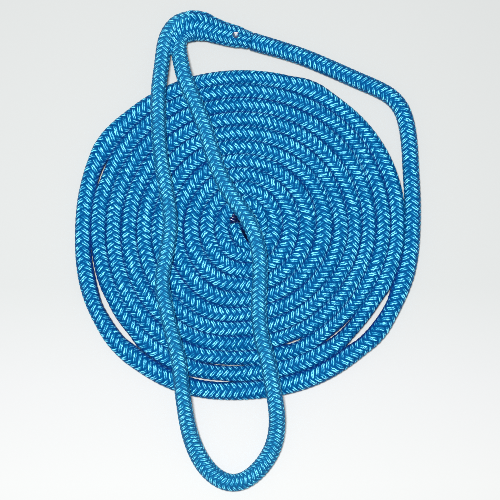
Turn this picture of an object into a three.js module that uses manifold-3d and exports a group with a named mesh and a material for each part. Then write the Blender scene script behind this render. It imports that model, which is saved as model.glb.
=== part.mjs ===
// Coiled dock line: a double-braided mooring rope, laid on a flat surface as a spiral coil,
// with the spliced eye of its standing end laid back across the coil.
//
// Millimetres, +Z up. The origin is the middle of the coil's flat underside, +Y points from there
// to the splice, and the whole line lies on the plane z = 0.
//
// The rope is a braided cover over a braided core. Both are separate solids wherever the rope runs
// free. The coil is one plain closed solid of its outer shape, and holds cover and core together.

import * as THREE from 'three';
import { mergeVertices } from 'three/addons/utils/BufferGeometryUtils.js';
import Module from 'manifold-3d';

const wasm = await Module();
wasm.setup();

// The rope.
const ROPE_RADIUS = 5;
const CORE_RADIUS = 3.2;
const BORE_RADIUS = 3.6;
const TUBE_SIDES = 10;
// Clear space between two pieces that meet face to face.
const JOINT_GAP = 0.4;

// The coil: the centreline's radius every 30 degrees clockwise from +X, at the start of the first
// turn. Each turn shrinks it by the same share, down to nothing after TURNS_TO_CENTRE turns.
const TURN_RADII = [108.5, 107.1, 106.6, 106.6, 113.8, 117.5, 116.1, 119.5, 115.4, 113.3, 114.3, 111.9];
const TURNS_TO_CENTRE = 11.15;
const COIL_HEIGHT = 2 * ROPE_RADIUS;
const RIM_OFFSET = 4.7;
const RIM_ROUNDING = 3.2;
const RIM_SEGMENTS = 3;
const OUTLINE_STEPS = 60;

// The standing part leaves the coil's outermost turn at +X and runs round to the splice.
const STANDING_ROUTE = [
  [0.2, 129.4, 7], [5, 128, 6.8], [10, 126.5, 6.6], [20, 123.7, 6.2], [36.7, 118.3, 5.6],
  [56, 110.3, 5.2], [73, 102.8, 5.1], [86, 97.2, 5.1], [95.5, 91.5, 5.1], [101.8, 83.5, 5.1],
  [105, 73.5, 5.1], [106.7, 62, 5.1], [108, 40.7, 5.1], [108.7, 28.5, 5.1], [109, 16.7, 5.1],
  [109, 0.4, 5.1],
];
const STANDING_STEPS = 16;

// The splice: two branches side by side, one per leg of the eye, which run into one thick throat.
const SPLICE_RADIUS = 5.6;
const SPLICE_BORE = 3.9;
const SPLICE_CORE = 3.4;
const SPLICE_SIDES = 12;
const SPLICE_STEPS = 18;
const THROAT_END = [[-8.5, 132, 6.6], [-0.2, 129.6, 7]];
const OUTER_BRANCH = [
  [-57.7, 114, 10.5], [-57.1, 123, 8.2], [-55.3, 130, 7], [-52, 137, 6.3], [-47.3, 141.5, 6],
  [-41.7, 144.5, 5.9], [-37, 144.4, 5.9], [-31.3, 143.1, 5.9], [-24.5, 139.7, 6], [-16, 135.5, 6.2],
];
const INNER_BRANCH = [
  [-45, 114, 12.5], [-46.3, 120.7, 10.4], [-46, 127.3, 8.6], [-43.4, 132.4, 7.4], [-38.6, 135, 6.6],
  [-32.6, 135.2, 6.2], [-26, 134.1, 6.1], [-17.3, 132.4, 6.2],
];

// The eye: up to the left of the crotch, over the coil, round its crown, and back to the crotch.
const EYE_ROUTE = [
  [-57.8, 113.1, 10.8], [-58.6, 106.7, 12.8], [-59.8, 95, 15.5], [-59.8, 71.3, 15.5],
  [-58.2, 50, 15.5], [-54.6, 29.3, 15.5], [-51.8, 8, 15.5], [-54.4, -12, 15.5], [-57.6, -30, 15.5],
  [-54.8, -48, 15.5], [-51.2, -64, 15.5], [-46.8, -80, 15.5], [-44.6, -98, 15.5], [-42.8, -113, 14.8],
  [-40.1, -129, 10], [-35.7, -142.8, 6.4], [-29.2, -154.4, 5.2], [-20.4, -162.6, 5.1],
  [-12.2, -165.6, 5.1], [-4, -164.3, 5.1], [4, -158.9, 5.1], [11, -150.8, 5.3], [16.2, -141, 6.6],
  [18.6, -128, 9.6], [18, -114, 14.2], [15.5, -100, 15.5], [12.7, -84, 15.5], [7.7, -65, 15.5],
  [6.4, -46, 15.5], [7.4, -26, 15.5], [6.2, -8, 15.5], [-1.2, 11, 15.5], [-10.6, 24.4, 15.5],
  [-18.3, 38, 15.5], [-23.6, 52, 15.5], [-29.5, 72, 15.5], [-38.2, 93.3, 15.5], [-43, 105, 14.8],
  [-44.8, 113, 12.9],
];
const EYE_STEPS = 44;

// The core's tail shows in the cover's opening, where the throat runs into the standing part.
const TAIL_PLACE = [-9, 132.6];
const TAIL_RADIUS = 1.3;
const TAIL_BASE = 10.6;
const TAIL_HEIGHT = 2;
const TAIL_OPENING = 1.7;

// The bitter end lies in the middle of the coil, in the slot that the innermost turn leaves open.
const END_ROUTE = [[-3.6, -12, 5.1], [-5.9, -6, 5.1], [-7.8, 0, 5.1], [-10.2, 8, 5.1]];
const END_STEPS = 4;
const SEAL_RADIUS = 4.7;
const SEAL_LENGTH = 2.6;
const SLOT_HALF_WIDTH = 5.5;
const SLOT_ENDS = [[-3.2, -12.4], [-12, 13]];

const COVER_COLOUR = 0x1583c8;
const CORE_COLOUR = 0xe9e6dc;
const SEAL_COLOUR = 0x0c3f78;

const group = new THREE.Group();
group.name = 'coiled_dock_line';

function addPiece(name, geometry, colour, roughness) {
  const material = new THREE.MeshStandardMaterial({ color: colour, roughness, metalness: 0 });
  const mesh = new THREE.Mesh(geometry, material);
  mesh.name = name;
  group.add(mesh);
  return mesh;
}

function curveThrough(points) {
  return new THREE.CatmullRomCurve3(points.map(([x, y, z]) => new THREE.Vector3(x, y, z)));
}

function polygonPoints(radius, sides) {
  const points = [];
  for (let i = 0; i < sides; i += 1) {
    const angle = (2 * Math.PI * i) / sides;
    points.push(new THREE.Vector2(radius * Math.cos(angle), radius * Math.sin(angle)));
  }
  return points;
}

// A tube along a route. With a bore it is a sleeve, open at both ends.
function tubeGeometry(route, radius, steps, { bore = 0, sides = TUBE_SIDES } = {}) {
  const section = new THREE.Shape(polygonPoints(radius, sides));
  if (bore > 0) {
    section.holes.push(new THREE.Path(polygonPoints(bore, sides).reverse()));
  }
  return new THREE.ExtrudeGeometry(section, {
    steps,
    bevelEnabled: false,
    extrudePath: curveThrough(route),
  });
}

function toSolid(geometry) {
  const bare = geometry.clone();
  bare.deleteAttribute('normal');
  bare.deleteAttribute('uv');
  const merged = mergeVertices(bare, 1e-4);
  return new wasm.Manifold(new wasm.Mesh({
    numProp: 3,
    vertProperties: new Float32Array(merged.attributes.position.array),
    triVerts: new Uint32Array(merged.index.array),
  }));
}

function toGeometry(solid) {
  const mesh = solid.getMesh();
  const geometry = new THREE.BufferGeometry();
  geometry.setAttribute('position', new THREE.BufferAttribute(mesh.vertProperties, 3));
  geometry.setIndex(new THREE.BufferAttribute(mesh.triVerts, 1));
  geometry.computeVertexNormals();
  return geometry;
}

// The first turn's base radius at any clockwise angle, smooth through the values every 30 degrees.
function turnRadius(turn) {
  const count = TURN_RADII.length;
  const place = (turn - Math.floor(turn)) * count;
  const index = Math.floor(place);
  const t = place - index;
  const [a, b, c, d] = [-1, 0, 1, 2].map((k) => TURN_RADII[(index + k + count) % count]);
  return b + 0.5 * t * (c - a + t * (2 * a - 5 * b + 4 * c - d + t * (3 * (b - c) + d - a)));
}

// The coil's edge once round, clockwise from +X. It ends one rope's width inside where it began.
function coilOutline() {
  const points = [];
  for (let i = 0; i <= OUTLINE_STEPS; i += 1) {
    const turn = i / OUTLINE_STEPS;
    const radius = turnRadius(turn) * (1 - turn / TURNS_TO_CENTRE) + RIM_OFFSET;
    const angle = -2 * Math.PI * turn;
    points.push(new THREE.Vector2(radius * Math.cos(angle), radius * Math.sin(angle)));
  }
  return points;
}

// The slot through the middle of the coil: two half circles joined by straight sides.
function slotSolid() {
  const [[x0, y0], [x1, y1]] = SLOT_ENDS;
  const heading = Math.atan2(y1 - y0, x1 - x0);
  const shape = new THREE.Shape();
  shape.absarc(x1, y1, SLOT_HALF_WIDTH, heading - Math.PI / 2, heading + Math.PI / 2, false);
  shape.absarc(x0, y0, SLOT_HALF_WIDTH, heading + Math.PI / 2, heading + 1.5 * Math.PI, false);
  const geometry = new THREE.ExtrudeGeometry(shape, {
    depth: 2 * COIL_HEIGHT,
    bevelEnabled: false,
    curveSegments: 6,
  });
  geometry.translate(0, 0, -0.5 * COIL_HEIGHT);
  return toSolid(geometry);
}

function coilGeometry() {
  const geometry = new THREE.ExtrudeGeometry(new THREE.Shape(coilOutline()), {
    depth: COIL_HEIGHT - 2 * RIM_ROUNDING,
    bevelThickness: RIM_ROUNDING,
    bevelSize: RIM_ROUNDING,
    bevelOffset: -RIM_ROUNDING,
    bevelSegments: RIM_SEGMENTS,
  });
  geometry.translate(0, 0, RIM_ROUNDING);
  return toGeometry(toSolid(geometry).subtract(slotSolid()));
}

// Both branches of the splice, joined into one solid of the given radius.
function spliceSolid(radius) {
  const [outer, inner] = [OUTER_BRANCH, INNER_BRANCH].map((branch) => {
    const route = [...branch, ...THROAT_END];
    return toSolid(tubeGeometry(route, radius, SPLICE_STEPS, { sides: SPLICE_SIDES }));
  });
  return outer.add(inner);
}

// The upright opening in the cover's top, where the core's tail comes out.
function tailOpening() {
  const cylinder = new THREE.CylinderGeometry(TAIL_OPENING, TAIL_OPENING, 6, 12);
  cylinder.rotateX(Math.PI / 2);
  cylinder.translate(TAIL_PLACE[0], TAIL_PLACE[1], TAIL_BASE + 2);
  return toSolid(cylinder);
}

// A round stub with a worn edge, standing on z = 0.
function stubGeometry(radius, height, sides) {
  const profile = [
    [0, 0], [radius, 0], [radius, 0.55 * height], [0.8 * radius, 0.9 * height], [0, height],
  ];
  return new THREE.LatheGeometry(profile.map(([r, z]) => new THREE.Vector2(r, z)), sides);
}

function addCoil() {
  addPiece('coil', coilGeometry(), COVER_COLOUR, 0.6);
}

function addStandingPart() {
  const cover = tubeGeometry(STANDING_ROUTE, ROPE_RADIUS, STANDING_STEPS, { bore: BORE_RADIUS });
  addPiece('standing_cover', cover, COVER_COLOUR, 0.6);
  addPiece('standing_core', tubeGeometry(STANDING_ROUTE, CORE_RADIUS, STANDING_STEPS), CORE_COLOUR, 0.8);
}

function addSplice() {
  const cover = spliceSolid(SPLICE_RADIUS).subtract(spliceSolid(SPLICE_BORE)).subtract(tailOpening());
  addPiece('splice_cover', toGeometry(cover), COVER_COLOUR, 0.6);
  addPiece('splice_core', toGeometry(spliceSolid(SPLICE_CORE)), CORE_COLOUR, 0.8);
  const tail = addPiece('core_tail_end', stubGeometry(TAIL_RADIUS, TAIL_HEIGHT, 10), CORE_COLOUR, 0.8);
  tail.rotation.x = Math.PI / 2;
  tail.position.set(TAIL_PLACE[0], TAIL_PLACE[1], TAIL_BASE);
}

function addEye() {
  const cover = tubeGeometry(EYE_ROUTE, ROPE_RADIUS, EYE_STEPS, { bore: BORE_RADIUS });
  addPiece('eye_cover', cover, COVER_COLOUR, 0.6);
  addPiece('eye_core', tubeGeometry(EYE_ROUTE, CORE_RADIUS, EYE_STEPS), CORE_COLOUR, 0.8);
}

// The seal is the melted tip that closes cover and core together.
function addBitterEnd() {
  const cover = tubeGeometry(END_ROUTE, ROPE_RADIUS, END_STEPS, { bore: BORE_RADIUS });
  addPiece('bitter_end_cover', cover, COVER_COLOUR, 0.6);
  addPiece('bitter_end_core', tubeGeometry(END_ROUTE, CORE_RADIUS, END_STEPS), CORE_COLOUR, 0.8);
  const seal = addPiece('bitter_end_seal', stubGeometry(SEAL_RADIUS, SEAL_LENGTH, 12), SEAL_COLOUR, 0.4);
  const curve = curveThrough(END_ROUTE);
  const heading = curve.getTangent(1);
  seal.quaternion.setFromUnitVectors(new THREE.Vector3(0, 1, 0), heading);
  seal.position.copy(curve.getPoint(1)).addScaledVector(heading, JOINT_GAP);
}

addCoil();
addStandingPart();
addSplice();
addEye();
addBitterEnd();

export default group;
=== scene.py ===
import math

import bpy
import numpy as np
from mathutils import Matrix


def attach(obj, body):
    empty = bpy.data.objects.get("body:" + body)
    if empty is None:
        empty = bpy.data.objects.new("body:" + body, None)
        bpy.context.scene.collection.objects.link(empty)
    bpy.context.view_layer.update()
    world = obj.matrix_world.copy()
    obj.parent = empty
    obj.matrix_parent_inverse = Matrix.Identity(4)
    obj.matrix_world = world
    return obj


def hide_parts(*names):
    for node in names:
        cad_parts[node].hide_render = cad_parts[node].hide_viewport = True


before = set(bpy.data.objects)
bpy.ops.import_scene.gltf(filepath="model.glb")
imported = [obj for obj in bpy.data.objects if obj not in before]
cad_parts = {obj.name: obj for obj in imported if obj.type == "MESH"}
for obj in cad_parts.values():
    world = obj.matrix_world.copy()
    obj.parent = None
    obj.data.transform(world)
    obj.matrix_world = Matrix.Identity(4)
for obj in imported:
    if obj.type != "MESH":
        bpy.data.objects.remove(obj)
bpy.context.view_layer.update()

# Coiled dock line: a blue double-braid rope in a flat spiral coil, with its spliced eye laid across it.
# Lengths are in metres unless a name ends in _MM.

MM = 0.001
# The rope where nothing presses on it, and how far it stays clear of the floor.
ROPE_RADIUS_MM = 5.0
FLOOR_GAP_MM = 0.05

# ---------------------------------------------------------------- routes

# The coil's centreline: its distance in mm from the middle, every 30 degrees clockwise from +X, on five
# of its turns. The turns between lie evenly between these.
RING_TURNS = [0, 1, 5, 8, 9]
RING_RADII_MM = [
    [108.6, 106.2, 103.9, 103.4, 109.8, 112.4, 110.4, 112.1, 108.4, 104.8, 104.1, 102.4],
    [98.7, 93.9, 92.3, 91.7, 97.5, 100.0, 100.4, 101.1, 99.0, 95.9, 94.4, 92.7],
    [61.0, 55.5, 52.7, 52.5, 57.2, 58.6, 59.7, 59.9, 61.0, 58.5, 55.8, 53.7],
    [27.4, 25.0, 23.6, 23.4, 24.9, 26.0, 27.6, 29.6, 31.4, 31.0, 25.9, 19.9],
    [16.1, 14.3, 13.5, 13.5, 14.8, 16.3, 17.8, 19.8, 21.9, 22.2, 16.4, 10.6],
]
COIL_TURNS = 9.76
POINTS_PER_TURN = 72
# The widest that half a slack turn gets, and how far neighbouring turns press into each other.
SLACK_MM = 5.6
PRESSED_MM = 0.56
# Further in than this turn there is no next turn to measure to, and a turn has this much room.
LAST_TURN_WITH_ANOTHER_INSIDE = 8.7
INNERMOST_ROOM_MM = 9.9
# Where a turn stands clear of the one inside it: turns from the outside, half the gap's length in turns,
# and its width in mm. A gap has its full width until near its ends, where this says how steeply it closes.
GAP_STEEPNESS = 1.6
GAPS = [
    (0.097, 0.04, 2.3), (0.29, 0.026, 0.35), (0.411, 0.036, 2.0), (0.46, 0.035, 0.8), (0.565, 0.018, 0.9),
    (1.131, 0.028, 1.6), (1.278, 0.036, 1.15), (2.19, 0.016, 1.1),
]
# Where the outermost turn bulges: the place in turns, half the bulge's length in turns, and how far in mm.
BULGES = [(0.103, 0.024, 1.5), (0.388, 0.03, 1.2), (0.592, 0.026, 1.6), (0.815, 0.022, 1.7)]

# From the splice's throat to the coil's outermost turn.
STANDING_ROUTE = [
    (0.0002, 0.1294, 0.007), (0.005, 0.128, 0.0068), (0.01, 0.1265, 0.0066), (0.02, 0.1237, 0.0062),
    (0.0367, 0.1183, 0.0056), (0.056, 0.1103, 0.0052), (0.073, 0.1028, 0.0051), (0.086, 0.0972, 0.0051),
    (0.0955, 0.0915, 0.0051), (0.1018, 0.0835, 0.0051), (0.105, 0.0735, 0.0051), (0.1067, 0.062, 0.0051),
    (0.108, 0.0407, 0.0051), (0.1087, 0.0285, 0.0051), (0.109, 0.0167, 0.0051),
]
# From the coil's innermost turn round to the bitter end.
BITTER_END_ROUTE = [
    (0.0052, 0.0184, 0.005), (0.0083, 0.0138, 0.005), (0.0094, 0.0085, 0.005), (0.0088, 0.0033, 0.005),
    (0.0073, -0.0012, 0.005), (0.0046, -0.005, 0.005), (0.001, -0.0069, 0.005), (-0.0027, -0.0065, 0.005),
    (-0.0056, -0.0043, 0.005), (-0.0077, -0.0012, 0.005), (-0.009, 0.0022, 0.005), (-0.0097, 0.0052, 0.005),
    (-0.0102, 0.0083, 0.005),
]
# The middle line of the hairpin's loop, and how far from it in mm the rope is pressed flat.
LOOP_AXIS = [(-0.1, 1.9), (-0.6, 12.0)]
LOOP_REACH_MM = 9.0
# The slit between the hairpin and the bitter end, where dark shade is painted.
SLIT = [(-5.0, 4.8), (2.4, -8.8)]
# From the crotch of the splice up over the coil, round the crown of the eye, and back.
EYE_ROUTE = [
    (-0.0578, 0.1131, 0.0108), (-0.0586, 0.1067, 0.0128), (-0.0598, 0.095, 0.0155), (-0.0598, 0.0713, 0.0155),
    (-0.0582, 0.05, 0.0155), (-0.0546, 0.0293, 0.0155), (-0.0518, 0.008, 0.0155), (-0.0544, -0.012, 0.0155),
    (-0.0576, -0.03, 0.0155), (-0.0548, -0.048, 0.0155), (-0.0512, -0.064, 0.0155), (-0.0468, -0.08, 0.0155),
    (-0.0446, -0.098, 0.0155), (-0.0428, -0.113, 0.0148), (-0.0401, -0.129, 0.01), (-0.0357, -0.1428, 0.0064),
    (-0.0292, -0.1544, 0.0052), (-0.0204, -0.1626, 0.0051), (-0.0122, -0.1656, 0.0051),
    (-0.004, -0.1643, 0.0051), (0.004, -0.1589, 0.0051), (0.011, -0.1508, 0.0053), (0.0162, -0.141, 0.0066),
    (0.0186, -0.128, 0.0096), (0.018, -0.114, 0.0142), (0.0155, -0.1, 0.0155), (0.0127, -0.084, 0.0155),
    (0.0077, -0.065, 0.0155), (0.0064, -0.046, 0.0155), (0.0074, -0.026, 0.0155), (0.0062, -0.008, 0.0155),
    (-0.0012, 0.011, 0.0155), (-0.0106, 0.0244, 0.0155), (-0.0183, 0.038, 0.0155), (-0.0236, 0.052, 0.0155),
    (-0.0295, 0.072, 0.0155), (-0.0382, 0.0933, 0.0155), (-0.043, 0.105, 0.0148), (-0.0448, 0.113, 0.0129),
]
# Where the eye is higher than this it lies on the coil, and sinks this far onto the turns below it.
ON_COIL_ABOVE = 0.013
EYE_SETTLES = 0.0006
# The two legs of the eye as they run into the splice: the outer one comes before the eye, the inner after.
OUTER_LEG = [
    (-0.034, 0.1432, 0.0052), (-0.0395, 0.1446, 0.0068), (-0.0455, 0.1427, 0.0076), (-0.0505, 0.1388, 0.0078),
    (-0.054, 0.1335, 0.008), (-0.0563, 0.126, 0.0088),
]
INNER_LEG = [(-0.0465, 0.1207, 0.0102), (-0.0466, 0.1273, 0.0082), (-0.044, 0.132, 0.007)]
THROAT_ROUTE = [
    (0.0025, 0.1288, 0.0069), (-0.003, 0.1305, 0.0069), (-0.0085, 0.132, 0.0068), (-0.0166, 0.134, 0.0066),
    (-0.0252, 0.1369, 0.0064), (-0.032, 0.1392, 0.0064), (-0.0385, 0.1394, 0.0064), (-0.0445, 0.1368, 0.0066),
    (-0.0488, 0.1315, 0.007), (-0.051, 0.1245, 0.008), (-0.0516, 0.1195, 0.009),
]
# The opening in the throat's cover, where the core's tail was brought out and cut off.
OPENING = (-0.0085, 0.1325)


def in_mm(route):
    return [tuple(1000 * value for value in point) for point in route]


def ease(values, start, end):
    """0 before start, 1 after end, and smooth between."""
    t = np.clip((values - start) / (end - start), 0, 1)
    return t * t * (3 - 2 * t)


def ring_radius(index):
    """The centreline's distance in mm from the middle, at that many steps of 30 degrees from the outside."""
    turn, place = divmod(index, 12)
    return float(np.interp(turn, RING_TURNS, [ring[place] for ring in RING_RADII_MM]))


def coil_radius(turn):
    """The same, smooth between the steps."""
    index = int(turn * 12)
    t = turn * 12 - index
    b, c, d = (ring_radius(index + k) for k in (0, 1, 2))
    a = ring_radius(index - 1) if index > 0 else 2 * b - c
    return b + 0.5 * t * (c - a + t * (2 * a - 5 * b + 4 * c - d + t * (3 * (b - c) + d - a)))


def parted(turn):
    """How far in mm the gaps move a turn outwards from the middle, and how much they narrow half of it."""
    moved, narrowed = 0.0, 0.0
    for place, reach, gap in GAPS:
        for inner in (0, 1):
            share = 1 - ((turn - inner - place) / reach) ** 2
            if share > 0:
                step = 0.5 * (0.5 * gap + PRESSED_MM) * min(1.0, GAP_STEEPNESS * share)
                moved += -step if inner else step
                narrowed += step
    return moved, narrowed


def bulge(turn):
    """How far in mm the outermost turn's edge stands out at a place."""
    return sum(size * max(0.0, 1 - ((turn - place) / reach) ** 2) for place, reach, size in BULGES)


def coil_point(turn):
    radius, angle = coil_radius(turn) + parted(turn)[0] + 0.5 * bulge(turn), -2 * math.pi * turn
    return (radius * math.cos(angle), radius * math.sin(angle), ROPE_RADIUS_MM)


def coil_half_width(turn):
    """Half the room between the neighbouring turns in mm, but no more than a slack rope takes up."""
    inner = INNERMOST_ROOM_MM
    if turn < LAST_TURN_WITH_ANOTHER_INSIDE:
        inner = coil_radius(turn) - coil_radius(turn + 1)
    outer = coil_radius(turn - 1) - coil_radius(turn) if turn > 1 else inner
    return min(0.25 * (inner + outer), SLACK_MM) + PRESSED_MM - parted(turn)[1] + 0.5 * bulge(turn)


def arc_length(line):
    return np.concatenate([[0], np.cumsum(np.linalg.norm(np.diff(line, axis=0), axis=1))])


# How far apart the points of a finished line are, and those of the curve that it is made from.
STEP_MM = 1.0
CURVE_STEP_MM = 0.5


def curve_through(points):
    """A centripetal Catmull-Rom curve through the points."""
    knots = np.concatenate([[0], np.cumsum(np.sqrt(np.linalg.norm(np.diff(points, axis=0), axis=1)))])
    padded = np.vstack([2 * points[0] - points[1], points, 2 * points[-1] - points[-2]])
    times = np.concatenate([[2 * knots[0] - knots[1]], knots, [2 * knots[-1] - knots[-2]]])
    curve = []
    for i in range(1, len(points)):
        t0, t1, t2, t3 = times[i - 1:i + 3]
        p0, p1, p2, p3 = padded[i - 1:i + 3]
        count = max(2, int(np.linalg.norm(p2 - p1) / CURVE_STEP_MM))
        for t in np.linspace(t1, t2, count, endpoint=False):
            a1 = (t1 - t) / (t1 - t0) * p0 + (t - t0) / (t1 - t0) * p1
            a2 = (t2 - t) / (t2 - t1) * p1 + (t - t1) / (t2 - t1) * p2
            a3 = (t3 - t) / (t3 - t2) * p2 + (t - t2) / (t3 - t2) * p3
            b1 = (t2 - t) / (t2 - t0) * a1 + (t - t0) / (t2 - t0) * a2
            b2 = (t3 - t) / (t3 - t1) * a2 + (t - t1) / (t3 - t1) * a3
            curve.append((t2 - t) / (t2 - t1) * b1 + (t - t1) / (t2 - t1) * b2)
    curve.append(points[-1])
    return np.array(curve)


def evenly_spaced(line):
    along = arc_length(line)
    even = np.linspace(0, along[-1], int(along[-1] / STEP_MM) + 1)
    return np.stack([np.interp(even, along, line[:, k]) for k in range(3)], axis=1)


def softened(line, width_mm):
    """The line averaged with a bell curve of that width, its two ends held where they are."""
    reach = int(3 * width_mm / STEP_MM)
    weights = np.exp(-0.5 * (np.arange(-reach, reach + 1) * STEP_MM / width_mm) ** 2)
    weights /= weights.sum()
    head = 2 * line[0] - line[reach:0:-1]
    tail = 2 * line[-1] - line[-2:-reach - 2:-1]
    held = np.vstack([head, line, tail])
    return np.stack([np.convolve(held[:, k], weights, "valid") for k in range(3)], axis=1)


def resampled(points_mm, soften_mm):
    """A smooth line along the points, as evenly spaced points in mm."""
    line = curve_through(np.array(points_mm, float))
    for width_mm in (soften_mm, 0.4 * soften_mm):
        line = softened(evenly_spaced(line), width_mm)
    return line


def keyed(keys, places):
    """Values at places, eased between (place, value) keys and level outside them."""
    spots = np.array([place for place, _ in keys], float)
    values = np.array([value for _, value in keys], float)
    index = np.clip(np.searchsorted(spots, places, side="right") - 1, 0, len(spots) - 2)
    t = ease(places, spots[index], spots[index + 1])
    return values[index] * (1 - t) + values[index + 1] * t


def slow_noise(places, wavelength, seed):
    """Smooth seeded noise between -1 and 1 along the rope."""
    rng = np.random.default_rng(seed)
    count = int(places.max() / wavelength) + 4
    values = rng.uniform(-1, 1, count)
    return keyed(list(enumerate(values)), places / wavelength)


# ---------------------------------------------------------------- the braid

# Twelve carriers, six each way, over two and under two. The throat is thicker and has more of them.
STRANDS_EACH_WAY = 6
THROAT_STRANDS_EACH_WAY = 10
SIDES_PER_STRAND = 9
STRAND_PITCH_MM = 4.1
# Puts the line where the two ways meet along the top of the rope.
TOP_PHASE = 0.25
# How far the strands stand out, and how much of that lies inside the rope's given size.
RELIEF_MM = 0.42
SUNK_SHARE = 0.6
# Half the width of a strand's round top in strands, and how deep it dives where it passes under.
STRAND_HALF_WIDTH = 1.02
DIVE_DEPTH = 0.85
# Where the painted shade of the crevice beside the rope begins and is at its darkest, as shares of the rope's
# half-width.
WEDGE_STARTS = 0.68
WEDGE_DARKEST = 0.93


def braid_height(around, along):
    """The braid's surface height, 0 to 1, at lattice coordinates: strands around and strands along."""
    s_way = around + along
    z_way = around - along
    column = np.mod(np.floor(s_way) + np.floor(z_way), 4)
    z_on_top = column > 1.5
    s_part = s_way - np.floor(s_way)
    z_part = z_way - np.floor(z_way)
    across = np.where(z_on_top, z_part, s_part) * 2 - 1
    run = np.where(z_on_top, column - 2 + s_part, column + z_part) - 1
    crown = np.sqrt(np.clip(1 - (across / STRAND_HALF_WIDTH) ** 2, 0, 1))
    return crown * (1 - DIVE_DEPTH * np.abs(run) ** 3)


def rope_frame(line, along, places):
    """The line's points at those distances along it, and which ways left and up are there."""
    def at(values):
        return np.stack([np.interp(places, along, values[:, k]) for k in range(3)], axis=1)

    tangent = at(np.gradient(line, along, axis=0))
    tangent /= np.linalg.norm(tangent, axis=1, keepdims=True)
    left = np.cross(np.array([0.0, 0.0, 1.0]), tangent)
    left /= np.linalg.norm(left, axis=1, keepdims=True)
    return at(line), left, np.cross(tangent, left)


def end_rounding(places, length, radii):
    """The rope's size at those distances along it, from 0 at either tip to 1 at a radius inwards."""
    size = np.ones(len(places))
    for distance, radius in ((places, radii[0]), (length - places, radii[1])):
        inside = np.clip(1 - distance / radius, 0, 1)
        size *= np.sqrt(np.clip(1 - inside ** 2, 0, 1))
    return size


def tube_faces(rings, sides):
    """The quads of a tube and the fans that close it, for rings of points with the two tips after them."""
    ring = np.arange(rings - 1)[:, None] * sides
    col = np.arange(sides)
    following = (col + 1) % sides
    quads = np.stack([ring + col, ring + following, ring + sides + following, ring + sides + col], axis=-1)
    last_ring = (rings - 1) * sides
    first_tip = rings * sides
    start_fan = np.stack([np.full(sides, first_tip), following, col], axis=1)
    end_fan = np.stack([np.full(sides, first_tip + 1), last_ring + col, last_ring + following], axis=1)
    return quads.reshape(-1, 4), start_fan, end_fan


def tube_map(around, levels):
    """Lattice coordinates of the corners of tube_faces: around has one for each side, levels for each ring.

    The first and last levels are the tips'."""
    sides = len(around)
    following = around + 1 / SIDES_PER_STRAND
    middle = around + 0.5 / SIDES_PER_STRAND
    lower, upper = levels[1:-2], levels[2:-1]
    quad_u = np.stack([around, following, following, around], axis=1)
    quad_v = np.stack([lower, lower, upper, upper], axis=1)[:, None, :]
    quads = np.broadcast_arrays(quad_u, quad_v)
    start_u = np.stack([middle, following, around], axis=1)
    start_v = np.broadcast_to([levels[0], levels[1], levels[1]], (sides, 3))
    end_u = np.stack([middle, around, following], axis=1)
    end_v = np.broadcast_to([levels[-1], levels[-2], levels[-2]], (sides, 3))
    return np.stack([
        np.concatenate([quads[0].ravel(), start_u.ravel(), end_u.ravel()]),
        np.concatenate([quads[1].ravel(), start_v.ravel(), end_v.ravel()]),
    ], axis=1)


def placed(name, data):
    """A new object of that mesh, light or camera, in the scene."""
    thing = bpy.data.objects.new(name, data)
    bpy.context.scene.collection.objects.link(thing)
    return thing


def fill_mesh(mesh, verts, face_groups):
    """Fills an empty mesh with points and with groups of faces of the same number of corners."""
    corners = np.concatenate([group.ravel() for group in face_groups])
    sizes = np.concatenate([np.full(*group.shape) for group in face_groups])
    starts = np.concatenate([[0], np.cumsum(sizes)[:-1]])
    mesh.vertices.add(len(verts))
    mesh.vertices.foreach_set("co", verts.astype(np.float32).ravel())
    mesh.loops.add(len(corners))
    mesh.loops.foreach_set("vertex_index", corners.astype(np.int32))
    mesh.polygons.add(len(sizes))
    mesh.polygons.foreach_set("loop_start", starts.astype(np.int32))


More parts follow.
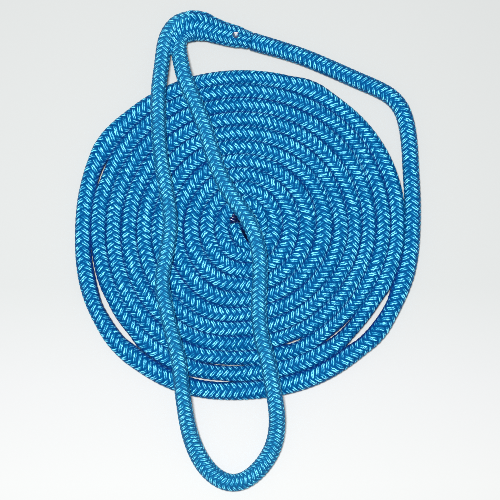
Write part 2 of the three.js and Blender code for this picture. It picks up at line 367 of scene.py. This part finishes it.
def rope_mesh(name, material, line, width_mm, height_mm, pitch_mm, twist, round_ends=(2.5, 2.5), boxiness=2.0,
              strands=STRANDS_EACH_WAY, phase=TOP_PHASE, press=None, wedged=None, lightened=0.0):
    """A closed braided tube along a line in mm. width, height, pitch and twist are given at its points.

    press, if given, takes the surface points in mm and returns them moved, with how much shade is painted on
    each one in the opening's pit, and how much on it along a slit. wedged, if given, says how tightly other
    rope lies against the left side and the right side, 0 to 1, which sets how dark the crevice shade painted
    on that side is. lightened is how far the cover's colour is mixed toward a lighter cyan."""
    sides = strands * SIDES_PER_STRAND
    along = arc_length(line)
    lattice = np.concatenate([[0], np.cumsum(np.diff(along) / (0.5 * (pitch_mm[1:] + pitch_mm[:-1])))])
    levels = np.linspace(0, lattice[-1], int(lattice[-1] * SIDES_PER_STRAND) + 1)
    places = np.interp(levels, lattice, along)

    def at(values):
        return np.interp(places, along, values)[:, None]

    centre, left, up = rope_frame(line, along, places)
    columns = np.arange(sides) / SIDES_PER_STRAND
    angle = 2 * math.pi * columns / strands + at(twist) - math.pi / 2
    cosine, sine = np.cos(angle), np.sin(angle)
    flat = (np.abs(cosine) ** boxiness + np.abs(sine) ** boxiness) ** (-1 / boxiness)
    size = end_rounding(places, along[-1], round_ends)[:, None]
    lift = RELIEF_MM * (braid_height(columns + phase, levels[:, None]) - SUNK_SHARE)
    across = (at(width_mm) * flat + lift) * cosine * size
    rise = (at(height_mm) * flat + lift) * sine * size
    points = centre[:, None, :] + across[..., None] * left[:, None, :] + rise[..., None] * up[:, None, :]
    crevice_shade = np.zeros(points.shape[:2])
    # Shade is painted on each side where other rope lies against it, as in a crevice.
    if wedged:
        beside = ease(np.abs(flat * cosine), WEDGE_STARTS, WEDGE_DARKEST)
        crevice_shade = np.where(cosine > 0, at(wedged[0]), at(wedged[1])) * beside
    # The first and the last ring have no size, so a single tip takes the place of each.
    points, crevice_shade = points[1:-1], crevice_shade[1:-1]
    pit_shade = np.zeros(points.shape[:2])
    # press also paints shade, in the opening's pit or along the slit in the middle of the coil.
    if press:
        points, pit_shade, shade = press(points)
        crevice_shade = np.maximum(crevice_shade, shade)
    points[..., 2] = np.maximum(points[..., 2], FLOOR_GAP_MM)

    mesh = bpy.data.meshes.new(name)
    fill_mesh(mesh, np.vstack([points.reshape(-1, 3), centre[[0, -1]]]) * MM, tube_faces(len(points), sides))
    layer = mesh.uv_layers.new(name="braid")
    layer.data.foreach_set("uv", tube_map(columns + phase, levels).astype(np.float32).ravel())
    for label, values in (("lightened", np.full_like(pit_shade, lightened)), ("pit_shade", pit_shade), ("crevice_shade", crevice_shade)):
        mesh.attributes.new(label, "FLOAT", "POINT")
        with_tips = np.append(values.ravel(), [0.0, 0.0])
        mesh.attributes[label].data.foreach_set("value", with_tips.astype(np.float32))
    mesh.update()
    mesh.validate()
    mesh.polygons.foreach_set("use_smooth", [True] * len(mesh.polygons))
    mesh.materials.append(material)
    return placed(name, mesh)


# ---------------------------------------------------------------- materials

def srgb(red, green, blue):
    """Linear RGBA from 0 to 255 screen values."""
    def linear(value):
        value /= 255
        return value / 12.92 if value <= 0.04045 else ((value + 0.055) / 1.055) ** 2.4
    return (linear(red), linear(green), linear(blue), 1.0)


# The cover's blue yarn from the hollows of the braid to its crowns, as shares of its height: shade is painted
# into the hollows and a highlight onto the crowns.
YARN_SHADE_TO_HIGHLIGHT = [
    (0.0, srgb(2, 56, 112)),
    (0.3, srgb(2, 78, 130)),
    (0.52, srgb(14, 106, 152)),
    (0.74, srgb(64, 160, 198)),
    (1.0, srgb(130, 228, 248)),
]
# A lighter cyan that the eye's cover is mixed toward.
LIGHTER_CYAN = srgb(84, 214, 244)
# Brownish shade painted in the lower-left of the opening's pit.
PIT_SHADE_COLOUR = srgb(92, 84, 84)
# Shade painted on the cover in the crevice between two turns, and the darkest shade painted at the bottom of
# the slit in the middle of the coil.
CREVICE_SHADE_COLOUR = srgb(10, 44, 120)
DEEPEST_SHADE_COLOUR = srgb(6, 12, 40)
CORE_COLOURS = [(0.25, srgb(150, 142, 138)), (0.45, srgb(204, 200, 200)), (0.7, srgb(232, 230, 230))]
# Melted nylon from its dark tone up to pale specks that are painted glints.
MELTED_TONES_AND_GLINTS = [
    (0.35, srgb(6, 12, 40)),
    (0.57, srgb(6, 28, 84)),
    (0.64, srgb(52, 84, 140)),
    (0.72, srgb(176, 196, 226)),
]
# The paper from the far side, where it is darkest, to the near side, with the light's falloff painted on it
# as shade, and how fast that changes per metre.
PAPER_FALLOFF_COLOURS = [
    (0.02, srgb(181, 183, 182)),
    (0.6, srgb(186, 188, 187)),
    (0.8, srgb(196, 197, 197)),
    (1.0, srgb(203, 204, 203)),
]
PAPER_FALLOFF_PER_METRE = 3.0
# Where a strand's two yarns lie to either side of its middle, and half a yarn's width, in half strands.
YARN_CENTRE = 0.4
YARN_HALF_WIDTH = 0.25
# How much of a strand's height is its own, and not its yarns'.
STRAND_SHARE = 0.4
YARN_BUMP_MM = 0.14
CORE_BUMP_MM = 0.2
MELTED_BUMP_MM = 0.4


class Nodes:
    """Short names for building a material's node tree."""

    def __init__(self, name):
        self.material = bpy.data.materials.new(name)
        self.material.use_nodes = True
        self.tree = self.material.node_tree
        self.shader = self.tree.nodes["Principled BSDF"]

    def add(self, kind, **settings):
        node = self.tree.nodes.new(kind)
        for key, value in settings.items():
            setattr(node, key, value)
        return node

    def feed(self, sockets, values):
        """Links each socket to its value if that is a socket too, and sets it otherwise."""
        for socket, value in zip(sockets, values):
            if isinstance(value, bpy.types.NodeSocket):
                self.tree.links.new(value, socket)
            else:
                socket.default_value = value

    def surface(self, values):
        """Feeds the shader's own sockets, by name."""
        self.feed([self.shader.inputs[name] for name in values], values.values())

    def math(self, operation, *inputs, clamp=False):
        node = self.add("ShaderNodeMath", operation=operation, use_clamp=clamp)
        self.feed(node.inputs, inputs)
        return node.outputs[0]

    def mix(self, factor, first, second):
        """first where factor is 0, second where it is 1."""
        node = self.add("ShaderNodeMix", data_type="FLOAT")
        self.feed([node.inputs[k] for k in (0, 2, 3)], (factor, first, second))
        return node.outputs[0]

    def mix_colours(self, factor, first, second):
        node = self.add("ShaderNodeMix", data_type="RGBA")
        self.feed([node.inputs[k] for k in (0, 6, 7)], (factor, first, second))
        return node.outputs[2]

    def ramp(self, factor, stops):
        node = self.add("ShaderNodeValToRGB")
        elements = node.color_ramp.elements
        while len(elements) < len(stops):
            elements.new(0.5)
        for element, (position, colour) in zip(elements, stops):
            element.position = position
            element.color = colour
        self.feed(node.inputs, [factor])
        return node.outputs[0]

    def vector(self, x, y, z):
        node = self.add("ShaderNodeCombineXYZ")
        self.feed(node.inputs, (x, y, z))
        return node.outputs[0]

    def split(self, vector):
        node = self.add("ShaderNodeSeparateXYZ")
        self.feed(node.inputs, [vector])
        return node.outputs

    def own_place(self):
        """The place in the object's own coordinates."""
        return self.add("ShaderNodeTexCoord").outputs["Object"]

    def attribute(self, name):
        node = self.add("ShaderNodeAttribute", attribute_name=name, attribute_type="GEOMETRY")
        return node.outputs["Fac"]

    def noise(self, place, scale, detail=2.0, dimensions="3D"):
        node = self.add("ShaderNodeTexNoise", noise_dimensions=dimensions)
        self.feed([node.inputs[name] for name in ("Vector", "Scale", "Detail")], (place, scale, detail))
        return node.outputs["Fac"]

    def bump(self, height, distance_mm):
        node = self.add("ShaderNodeBump")
        self.feed([node.inputs[name] for name in ("Height", "Distance")], (height, distance_mm * MM))
        return node.outputs[0]


class Lattice:
    """Where on the braid a point lies, worked out from the mesh's map in the same way as braid_height."""

    def __init__(self, n):
        self.uv = n.add("ShaderNodeUVMap", uv_map="braid").outputs[0]
        around, along, _ = n.split(self.uv)
        s_way, z_way = n.math("ADD", around, along), n.math("SUBTRACT", around, along)
        self.s_index, self.z_index = n.math("FLOOR", s_way), n.math("FLOOR", z_way)
        s_part, z_part = n.math("SUBTRACT", s_way, self.s_index), n.math("SUBTRACT", z_way, self.z_index)
        column = n.math("FLOORED_MODULO", n.math("ADD", self.s_index, self.z_index), 4.0)
        z_on_top = n.math("GREATER_THAN", column, 1.5)
        # Which strand is on top, and the place across it and along its visible run, both from -1 to 1.
        self.strand = n.mix(z_on_top, self.s_index, self.z_index)
        self.across = n.math("MULTIPLY_ADD", n.mix(z_on_top, s_part, z_part), 2.0, -1.0)
        run_s = n.math("ADD", column, z_part)
        run_z = n.math("ADD", n.math("SUBTRACT", column, 2.0), s_part)
        self.run = n.math("SUBTRACT", n.mix(z_on_top, run_s, run_z), 1.0)


def yarn_height(n, braid, across):
    """Height of the strand with the nearer of its two yarns on it, 0 to 1."""
    offset = n.math("DIVIDE", n.math("SUBTRACT", n.math("ABSOLUTE", across), YARN_CENTRE), YARN_HALF_WIDTH)
    yarn = n.math("SUBTRACT", 1.0, n.math("MULTIPLY", offset, offset), clamp=True)
    dive = n.math("SUBTRACT", 1.0, n.math("POWER", n.math("ABSOLUTE", braid.run), 3.0), clamp=True)
    hollow = n.math("SUBTRACT", 1.0, n.math("POWER", n.math("ABSOLUTE", braid.across), 3.0), clamp=True)
    whole = n.math("MULTIPLY", STRAND_SHARE, hollow)
    fine = n.math("MULTIPLY", 1 - STRAND_SHARE, n.math("POWER", yarn, 0.8))
    return n.math("MULTIPLY", n.math("ADD", whole, fine), n.math("POWER", dive, 0.8))


def yarn_light(n, braid, across, filaments):
    """How much lighter than usual the yarn is: by filament, visible stretch and patch, and along its run."""
    which_yarn = n.math("SIGN", across)
    stretch = n.add("ShaderNodeTexWhiteNoise", noise_dimensions="3D")
    n.feed([stretch.inputs["Vector"]], [n.vector(braid.s_index, braid.z_index, which_yarn)])
    patch = n.noise(braid.uv, 0.35, dimensions="2D")
    along_run = n.noise(n.vector(
        n.math("MULTIPLY_ADD", which_yarn, 3.3, n.math("MULTIPLY", braid.s_index, 5.1)),
        n.math("MULTIPLY_ADD", braid.run, 1.7, n.math("MULTIPLY", braid.z_index, 2.3)),
        n.math("MULTIPLY", braid.strand, 7.7)
    ), 1.0, detail=1.0)
    light = n.math("MULTIPLY_ADD", filaments, 0.4, -0.2)
    sources = ((stretch.outputs["Value"], 0.5, -0.27), (patch, 0.4, -0.2), (along_run, 1.1, -0.55))
    for source, spread, lowest in sources:
        light = n.math("ADD", light, n.math("MULTIPLY_ADD", source, spread, lowest))
    return light


def cover_material():
    """Blue filament yarn, two yarns to a strand, braided over two and under two."""
    n = Nodes("cover_braid")
    braid = Lattice(n)
    # The yarns wander a little to either side.
    wander = n.math("SUBTRACT", n.noise(braid.uv, 2.6, dimensions="2D"), 0.5)
    across = n.math("ADD", braid.across, wander)
    # Filaments run along the yarn: noise stretched that way.
    stretched = zip((across, braid.run, braid.strand), (9.0, 1.2, 3.7))
    filaments = n.noise(n.vector(*(n.math("MULTIPLY", place, scale) for place, scale in stretched)), 1.0)
    height = yarn_height(n, braid, across)
    light = yarn_light(n, braid, across, filaments)
    # By height, the yarn's blue gets painted shade in the hollows and a painted highlight on the crowns.
    colour = n.ramp(n.math("MULTIPLY", height, n.math("ADD", 1.0, light), clamp=True), YARN_SHADE_TO_HIGHLIGHT)
    crevice_shade = n.attribute("crevice_shade")
    # The crevice's painted shade holds its colour up to a value of 1, and turns into the deepest painted
    # shade at 2.
    depth = n.ramp(n.math("MULTIPLY", crevice_shade, 0.5), [(0.5, CREVICE_SHADE_COLOUR), (1.0, DEEPEST_SHADE_COLOUR)])
    colour = n.mix_colours(n.attribute("lightened"), colour, LIGHTER_CYAN)
    colour = n.mix_colours(crevice_shade, colour, depth)
    # Brownish shade painted in the lower-left of the opening's pit.
    colour = n.mix_colours(n.attribute("pit_shade"), colour, PIT_SHADE_COLOUR)
    n.surface({
        "Base Color": colour,
        "Roughness": n.math("MULTIPLY_ADD", filaments, 0.25, 0.42),
        "Normal": n.bump(n.math("MULTIPLY_ADD", filaments, 0.25, height), YARN_BUMP_MM),
        "Sheen Weight": 0.05,
        "Sheen Roughness": 0.4,
        "Sheen Tint": srgb(90, 190, 255),
        "Specular IOR Level": 0.22,
        "Specular Tint": srgb(70, 190, 255),
    })
    return n.material


def core_material():
    """White filament yarn, a little soiled, for the core and its cut ends."""
    n = Nodes("core_braid")
    place = n.own_place()
    yarns = n.noise(place, 900.0, detail=3.0)
    soil = n.noise(place, 260.0)
    tone = n.math("ADD", n.math("MULTIPLY", yarns, 0.5), n.math("MULTIPLY", soil, 0.5))
    n.surface({
        "Base Color": n.ramp(tone, CORE_COLOURS),
        "Roughness": 0.6,
        "Sheen Weight": 0.2,
        "Normal": n.bump(yarns, CORE_BUMP_MM),
    })
    return n.material


def seal_material():
    """Nylon melted and set again: dark, hard and glossy, with pale specks painted in as glints."""
    n = Nodes("melted_nylon")
    blot = n.noise(n.own_place(), 420.0, detail=4.0)
    n.surface({
        "Base Color": n.ramp(blot, MELTED_TONES_AND_GLINTS),
        "Roughness": 0.24,
        "Coat Weight": 0.4,
        "Normal": n.bump(blot, MELTED_BUMP_MM),
    })
    return n.material


def paper_material():
    n = Nodes("pale_paper")
    # Painted light falloff: the paper is darker towards the far side.
    nearness = n.math("MULTIPLY_ADD", n.split(n.own_place())[1], -PAPER_FALLOFF_PER_METRE, 0.5, clamp=True)
    n.surface({"Base Color": n.ramp(nearness, PAPER_FALLOFF_COLOURS), "Roughness": 0.85})
    return n.material


# ---------------------------------------------------------------- pieces

# How far the eye's cover is mixed toward a lighter cyan.
EYE_LIGHTENED = 0.055
# How dark the shade painted in the slit beside the bitter end is, where 1 is a crevice's painted shade and 2
# the most there is, its half-width at its ends, and how much wider than that half of it gets between them.
SLIT_SHADE = 2
SLIT_HALF_WIDTH_MM = 0.45
SLIT_WIDENS_MM = 0.95
# Half the size of the parted cover at the opening, how deep its pit is and how high its rim.
OPENING_HALF_SIZE_MM = (2.3, 2.1)
OPENING_DEPTH_MM = 1.6
OPENING_RIM_MM = 0.3
# The throat's cover above this height is its upper side.
UPPER_SIDE_MM = 7
# Half-widths and half-heights of the throat in mm, at distances in mm along it.
THROAT_WIDTHS = [
    (0, 5.6), (6, 6.2), (11, 7.3), (19, 7.7), (28, 8.6), (35, 9.8), (42, 10.2), (50, 9.6), (58, 7.5),
    (66, 4.6), (80, 3.0),
]
THROAT_HEIGHTS = [(0, 5.4), (6, 5.9), (40, 6.2), (55, 5.6), (66, 4.6), (80, 3.2)]
# The cut yarns of the core's tail: how many in each row, their radius and spacing, and where they begin.
TUFT_ROWS = (4, 2, 1)
YARN_END_RADIUS_MM = 0.43
YARN_END_SIDES = 10
YARN_END_SPACING_MM = 0.78
TUFT_ROW_SPACING_MM = 0.8
TUFT_FIRST_ROW_MM = 1.4
TUFT_FOOT_Z_MM = 9.6
TUFT_TIP_Z_MM = 12.2
# The melted tip: half its length, width and height, how far its middle lies past the end of the rope's line
# and below it, where its two poles are along that line, and how lumpy it is.
SEAL_HALF_SIZE_MM = (4.5, 4.5, 4.3)
SEAL_MIDDLE_MM = 3.2
SEAL_SAGS_MM = 0.2
SEAL_START_MM = -1.3
SEAL_END_MM = 7.6
SEAL_LUMPS = 0.056


def constant(line, value):
    return np.full(len(line), float(value))


def nearest_on(points, start, end):
    """The point between start and end that is nearest to each point from above, and its share of the way."""
    way = end - start
    share = np.clip(((points[..., :2] - start) @ way) / (way @ way), 0, 1)
    return start + share[..., None] * way, share


def flatten_innermost(points):
    """Under the leg that lies across it, the hairpin in the middle is pressed flat and fills its own loop.

    Its lower side spreads the most, and its upper side stays as it is. Dark shade is painted on the rope
    along the slit that stays between it and the bitter end."""
    nearest, _ = nearest_on(points, *np.array(LOOP_AXIS))
    offset = points[..., :2] - nearest
    distance = np.maximum(np.linalg.norm(offset, axis=-1), 1e-6)
    spread = np.maximum(LOOP_REACH_MM - 1.6 * (LOOP_REACH_MM - distance), 1.0)
    pressed = 1 - ease(points[..., 2], 5.0, 7.5)
    spread = np.where(distance < LOOP_REACH_MM, spread * pressed + distance * (1 - pressed), distance)
    moved = points.copy()
    moved[..., :2] = nearest + offset * (spread / distance)[..., None]
    # Painted shade along the slit.
    nearest, share = nearest_on(moved, *np.array(SLIT))
    away = np.linalg.norm(moved[..., :2] - nearest, axis=-1)
    half_width = SLIT_HALF_WIDTH_MM + SLIT_WIDENS_MM * np.sin(math.pi * share ** 0.7)
    shade = SLIT_SHADE * (1 - ease(away / half_width, 0.6, 1.15))
    return moved, np.zeros(points.shape[:2]), shade


def standing_line(material, seal):
    """The standing part and the coil: from the splice's throat in to the bitter end."""
    turns = [i / POINTS_PER_TURN for i in range(int(COIL_TURNS * POINTS_PER_TURN) + 1)]
    coil = np.array([coil_point(turn) for turn in turns])
    line = resampled(in_mm(STANDING_ROUTE) + list(coil) + in_mm(BITTER_END_ROUTE), soften_mm=2.6)
    s = arc_length(line)
    # The coil starts within the first 400 mm, before the line comes round to the same place again.
    coil_start = s[np.argmin(np.linalg.norm(line[s < 400] - coil[0], axis=1))]
    coil_s = coil_start + arc_length(coil)
    # Along the coil the width comes from the room that each turn has, and near its end the rope is squeezed.
    free = keyed([(0, 5.9), (30, 5.6), (120, 5.4)], s)
    laid = np.interp(s, coil_s, [coil_half_width(turn) for turn in turns])
    share = np.clip((s - coil_start) / 25, 0, 1)
    squeezed = keyed([(s[-1] - 52, 0), (s[-1] - 40, 0.5), (s[-1] - 16, 0.9)], s)
    width = (free * (1 - share) + laid * share) * (1 + 0.006 * slow_noise(s, 45, 3)) - squeezed
    # Where it is narrow it is a little higher, and near the splice it is thicker all round.
    height = ROPE_RADIUS_MM * np.clip(ROPE_RADIUS_MM / width, 0.94, 1.12) ** 0.6
    height = height + keyed([(0, 0.8), (60, 0.3), (200, 0.1)], s)
    pitch = keyed([(0, 3.0), (60, 3.5), (200, STRAND_PITCH_MM)], s) * (1 + 0.05 * slow_noise(s, 60, 5))
    # Laid flat without turning in the hand, the rope takes one full twist in each turn of the coil.
    twist = -2 * math.pi * np.interp(s, coil_s, turns) + 0.3 * slow_noise(s, 130, 7)
    # Both sides lie against other turns, except outside the first turn, and some places lie closer
    # than others. That sets how dark the shade painted in the crevices is.
    closeness = [0.72 + 0.28 * slow_noise(s, 34, seed) for seed in (51, 53)]
    outside = closeness[0] * ease(s, coil_s[POINTS_PER_TURN], coil_s[POINTS_PER_TURN + 2])
    inside = closeness[1] * ease(s, coil_s[0], coil_s[3])
    piece = rope_mesh("standing_line", material, line, width, height, pitch, twist, round_ends=(2.5, 1.6),
                      boxiness=2.25, press=flatten_innermost, wedged=(outside, inside))
    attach(piece, "root")
    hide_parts("coil", "standing_cover", "bitter_end_cover")


def eye_loop(material):
    """The eye with both of its legs."""
    over = [(x, y, z - (EYE_SETTLES if z > ON_COIL_ABOVE else 0)) for x, y, z in EYE_ROUTE]
    line = resampled(in_mm(OUTER_LEG + over + INNER_LEG), soften_mm=4.0)
    s = arc_length(line)
    total = s[-1]
    crown = s[np.argmin(line[:, 1])]
    width = keyed([
        (0, 4.4), (16, 5.3), (45, 4.9), (90, 4.75), (150, 4.9), (210, 4.8), (crown - 70, 5.1),
        (crown - 20, 5.8), (crown + 25, 5.7), (crown + 80, 5.2), (crown + 120, 5.1), (total - 60, 5.1),
        (total - 14, 5.2), (total, 4.2),
    ], s)
    width = width * (1 + 0.012 * slow_noise(s, 40, 13))
    height = keyed([
        (0, 4.8), (14, 5.3), (crown - 60, 5.0), (crown, 5.4), (crown + 60, 5.0), (total, 4.6),
    ], s)
    pitch = keyed([
        (0, 3.3), (90, 3.6), (crown - 110, 3.9), (crown - 20, 3.0), (crown + 30, 3.0), (crown + 110, 3.9),
        (total - 60, 3.7), (total, 3.3),
    ], s)
    twist = keyed([(crown - 50, 0), (crown + 70, math.pi / 3)], s) + 0.3 * slow_noise(s, 120, 17)
    piece = rope_mesh("eye_loop", material, line, width, height, pitch, twist, phase=2 + TOP_PHASE,
                      lightened=EYE_LIGHTENED)
    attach(piece, "root")
    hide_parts("eye_cover")


def press_opening(points):
    """Parts the cover at the opening: a pit with a raised rim, with brownish shade painted inside it on its
    lower-left side.
    """
    x, y = (1000 * value for value in OPENING)
    half_width, half_length = OPENING_HALF_SIZE_MM
    reach = np.hypot((points[..., 0] - x) / half_width, (points[..., 1] - y) / half_length)
    top = points[..., 2] > UPPER_SIDE_MM
    pit = 1 - ease(reach, 0.62, 1.04)
    rim = np.exp(-((reach - 1.25) / 0.22) ** 2)
    moved = points.copy()
    moved[..., 2] += np.where(top, OPENING_RIM_MM * rim - OPENING_DEPTH_MM * pit, 0)
    # Shade is painted inside the pit, on its lower-left side.
    below_left = ease(-(points[..., 0] - x) - (points[..., 1] - y), -3.0, 2.0)
    pit_shade = np.where(top, (1 - ease(reach, 0.7, 1.2)) * below_left, 0)
    return moved, 0.8 * pit_shade, np.zeros(points.shape[:2])


def splice_throat(material):
    """The thick part of the splice, where one rope turns into two legs."""
    line = resampled(in_mm(THROAT_ROUTE), soften_mm=3.0)
    s = arc_length(line)
    width = keyed(THROAT_WIDTHS, s) * (1 + 0.02 * slow_noise(s, 9, 21))
    piece = rope_mesh("splice_throat", material, line, width, keyed(THROAT_HEIGHTS, s), constant(line, 3.3),
                      constant(line, 0.3), strands=THROAT_STRANDS_EACH_WAY, press=press_opening)
    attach(piece, "root")
    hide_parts("splice_cover")


def joined(name, material, parts):
    """One smooth mesh from (points in mm, faces) parts."""
    verts, faces = [], []
    for points, corners in parts:
        start = len(verts)
        verts.extend([tuple(value * MM for value in point) for point in points])
        faces.extend([[start + corner for corner in face] for face in corners])
    mesh = bpy.data.meshes.new(name)
    mesh.from_pydata(verts, [], faces)
    mesh.update()
    mesh.polygons.foreach_set("use_smooth", [True] * len(mesh.polygons))
    mesh.materials.append(material)
    return placed(name, mesh)


def yarn_end(base, tip):
    """A short closed length of yarn from base to tip, with a blunt cut end."""
    base, tip = np.array(base, float), np.array(tip, float)
    axis = (tip - base) / np.linalg.norm(tip - base)
    first = np.cross(axis, [0.3, 1.0, 0.1])
    first /= np.linalg.norm(first)
    second = np.cross(axis, first)
    sides = YARN_END_SIDES
    points = []
    for share, size in ((0, 1.0), (0.5, 1.05), (0.9, 1.0), (1.0, 0.7)):
        for k in range(sides):
            angle = 2 * math.pi * k / sides
            around = math.cos(angle) * first + math.sin(angle) * second
            points.append(base + (tip - base) * share + around * YARN_END_RADIUS_MM * size)
    faces = [
        [r * sides + k, r * sides + (k + 1) % sides, (r + 1) * sides + (k + 1) % sides, (r + 1) * sides + k]
        for r in range(3) for k in range(sides)
    ]
    faces.append(list(range(sides))[::-1])
    faces.append([3 * sides + k for k in range(sides)])
    return points, faces


def core_tail(material):
    """The core's cut tail in the opening: yarn ends in a wedge, wide towards the eye's side of the throat."""
    rng = np.random.default_rng(31)
    x, y = (1000 * value for value in OPENING)
    parts = []
    for row, count in enumerate(TUFT_ROWS):
        for k in range(count):
            across = (k - (count - 1) / 2) * YARN_END_SPACING_MM
            down = TUFT_FIRST_ROW_MM - row * TUFT_ROW_SPACING_MM
            lean = rng.uniform(-0.16, 0.16, 2)
            tip_z = TUFT_TIP_Z_MM - 0.25 * row + rng.uniform(-0.2, 0.2)
            foot = (x + across * 0.8, y + down * 0.8, TUFT_FOOT_Z_MM)
            parts.append(yarn_end(foot, (x + across + lean[0], y + down + lean[1], tip_z)))
    piece = joined("core_tail_tuft", material, parts)
    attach(piece, "root")
    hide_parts("core_tail_end")


def bitter_end_seal(material):
    """The melted tip: a lumpy cap on the cut end of the rope."""
    before, end = np.array(in_mm(BITTER_END_ROUTE)[-2:])
    heading = (end - before) / np.linalg.norm(end - before)
    side = np.cross([0.0, 0.0, 1.0], heading)
    rings, sides = 22, 40
    half_length, half_width, half_height = SEAL_HALF_SIZE_MM
    rng = np.random.default_rng(41)
    waves = [(rng.uniform(-1, 1, 3) * 1.7, rng.uniform(0, 6.28)) for _ in range(7)]
    points = []
    for i in range(1, rings):
        polar = math.pi * i / rings
        ring = math.sin(polar) ** 0.8
        for k in range(sides):
            turn = 2 * math.pi * k / sides
            along, across, up = -math.cos(polar), ring * math.cos(turn), ring * math.sin(turn)
            spot = np.array([along * half_length, across * half_width, up * half_height])
            spot *= 1 + SEAL_LUMPS * sum(math.sin(direction @ spot + start) for direction, start in waves)
            point = end + heading * (spot[0] + SEAL_MIDDLE_MM) + side * spot[1]
            point[2] = max(point[2] + spot[2] - SEAL_SAGS_MM, FLOOR_GAP_MM)
            points.append(point)
    last = len(points)
    points.append(end + heading * SEAL_START_MM)
    points.append(end + heading * SEAL_END_MM)
    faces = []
    for i in range(rings - 2):
        for k in range(sides):
            a, b = i * sides + k, i * sides + (k + 1) % sides
            faces.append([a, a + sides, b + sides, b])
    for k in range(sides):
        following = (k + 1) % sides
        last_ring = (rings - 2) * sides
        faces.append([last, k, following])
        faces.append([last + 1, last_ring + following, last_ring + k])
    piece = joined("bitter_end_cap", material, [(points, faces)])
    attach(piece, "root")
    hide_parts("bitter_end_seal")
    return piece


def bitter_end_core(material):
    """The core inside the last of the rope, which the cover hides."""
    route = resampled(in_mm(BITTER_END_ROUTE)[3:], soften_mm=2.0)
    line = route[arc_length(route) < arc_length(route)[-1] - 2.5]
    piece = rope_mesh("bitter_end_core_braid", material, line, constant(line, 3.0), constant(line, 3.0),
                      constant(line, 2.6), constant(line, 0.0), round_ends=(1.0, 1.0))
    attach(piece, "root")
    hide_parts("bitter_end_core")


def finish_cores(material):
    """The CAD's own cores stay, in a better material."""
    for name in ("standing_core", "splice_core", "eye_core"):
        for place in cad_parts[name].material_slots:
            place.material = material


# ---------------------------------------------------------------- stage, light and camera

FLOOR_HALF_SIZE = 3.0
# A soft round lamp above, a little to one side, and a weak light from all round.
LAMP_AT = (-0.075, 0.07, 1.27)
LAMP_SIZE = 0.22
LAMP_WATTS = 24
SURROUND_STRENGTH = 0.2
# The camera looks straight down.
CAMERA_AT = (0.00067, -0.010, 1.005)
CAMERA_LENS_MM = 108
CAMERA_SENSOR_MM = 36


def add_stage():
    mesh = bpy.data.meshes.new("floor")
    corners = [(FLOOR_HALF_SIZE * x, FLOOR_HALF_SIZE * y, 0) for x, y in ((-1, -1), (1, -1), (1, 1), (-1, 1))]
    mesh.from_pydata(corners, [], [(0, 1, 2, 3)])
    mesh.materials.append(paper_material())
    floor = placed("floor", mesh)


def add_light():
    world = bpy.data.worlds.new("studio")
    world.use_nodes = True
    background = world.node_tree.nodes["Background"]
    background.inputs["Color"].default_value = (0.95, 0.98, 1.0, 1)
    background.inputs["Strength"].default_value = SURROUND_STRENGTH
    bpy.context.scene.world = world
    lamp = bpy.data.lights.new("key", "AREA")
    lamp.shape = "DISK"
    lamp.size = LAMP_SIZE
    lamp.energy = LAMP_WATTS
    key = placed("key", lamp)
    key.location = LAMP_AT
    key.rotation_mode = "QUATERNION"
    key.rotation_quaternion = (-key.location).to_track_quat("-Z", "Y")


def add_camera():
    camera = bpy.data.cameras.new("camera")
    camera.sensor_width = CAMERA_SENSOR_MM
    camera.lens = CAMERA_LENS_MM
    seen_from = placed("camera", camera)
    seen_from.location = CAMERA_AT
    bpy.context.scene.camera = seen_from


bpy.context.scene.view_settings.view_transform = "Standard"
# The denoiser and a wide pixel filter would wash out the fine braid.
bpy.context.scene.cycles.filter_width = 0.7
bpy.context.scene.cycles.use_denoising = False
add_camera()
add_light()
add_stage()
cover, core = cover_material(), core_material()
finish_cores(core)
standing_line(cover, bitter_end_seal(seal_material()))
bitter_end_core(core)
eye_loop(cover)
splice_throat(cover)
core_tail(core)
